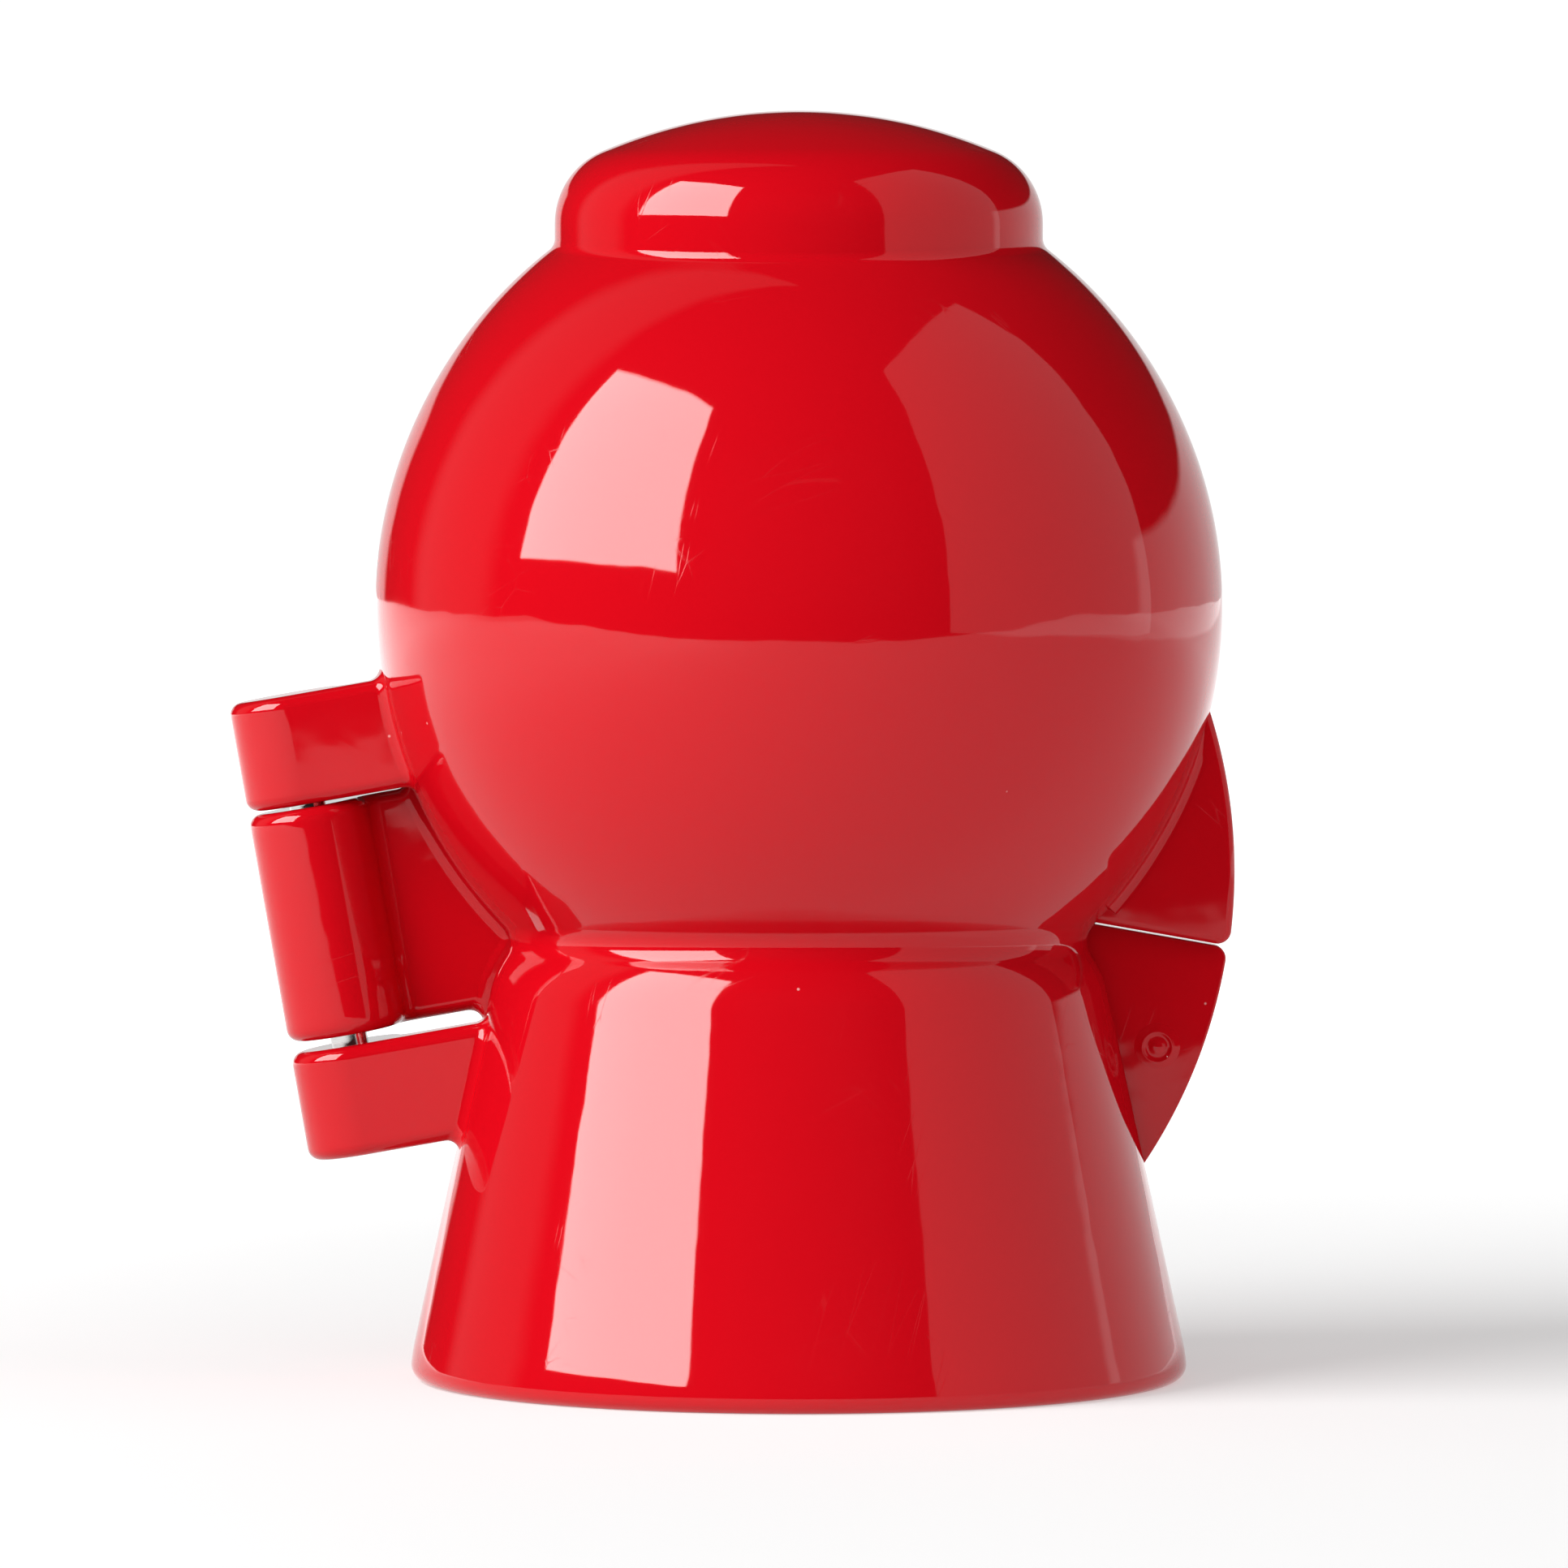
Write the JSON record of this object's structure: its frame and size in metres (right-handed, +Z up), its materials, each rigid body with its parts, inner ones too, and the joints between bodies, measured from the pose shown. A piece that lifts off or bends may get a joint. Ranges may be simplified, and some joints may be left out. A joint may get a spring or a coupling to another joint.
{
  "type": "egg slicer",
  "caption": "Book-opening egg slicer: a capped ball on a flared foot, split into two red shells on a leaning side hinge, with a wire frame that swings into a slotted cradle.",
  "frame": {"origin": "under the body's vertical axis on the resting plane, in the parting plane between the two shells", "axes": "+Z up along the body, +X towards the thumb tabs (the hinge is on -X), front shell on -Y"},
  "size_m": [0.095, 0.0768, 0.1197],
  "materials": {
    "red_plastic": "high-gloss moulded, fine hairline scratches",
    "pin_steel": "drawn, polished",
    "frame_aluminium": "cast and tumbled, satin",
    "ferrule_steel": "crimped, satin",
    "screw_steel": "bright stainless",
    "wire_steel": "drawn stainless, bright",
    "cradle_plastic": "satin moulded"
  },
  "bodies": {
    "base": {"rear_shell": "red_plastic", "egg_cradle": "cradle_plastic", "cradle_screws": "screw_steel"},
    "front": {"front_shell": "red_plastic", "hinge_pin": "pin_steel", "wire_frame": "frame_aluminium", "retaining_ring": "frame_aluminium", "wire_ferrules": "ferrule_steel", "frame_screws": "screw_steel", "cutting_wire_01": "wire_steel", "cutting_wire_02": "wire_steel", "cutting_wire_03": "wire_steel", "cutting_wire_04": "wire_steel", "cutting_wire_05": "wire_steel", "cutting_wire_06": "wire_steel", "cutting_wire_07": "wire_steel", "cutting_wire_08": "wire_steel", "cutting_wire_09": "wire_steel", "cutting_wire_10": "wire_steel", "cutting_wire_11": "wire_steel"}
  },
  "joints": [
    {"name": "front_hinge", "type": "hinge", "parent": "base", "child": "front", "pos_m": [-0.0425, 0, 0.0321], "axis": [0.1736, 0, -0.9848], "range_deg": [0, 180]}
  ]
}
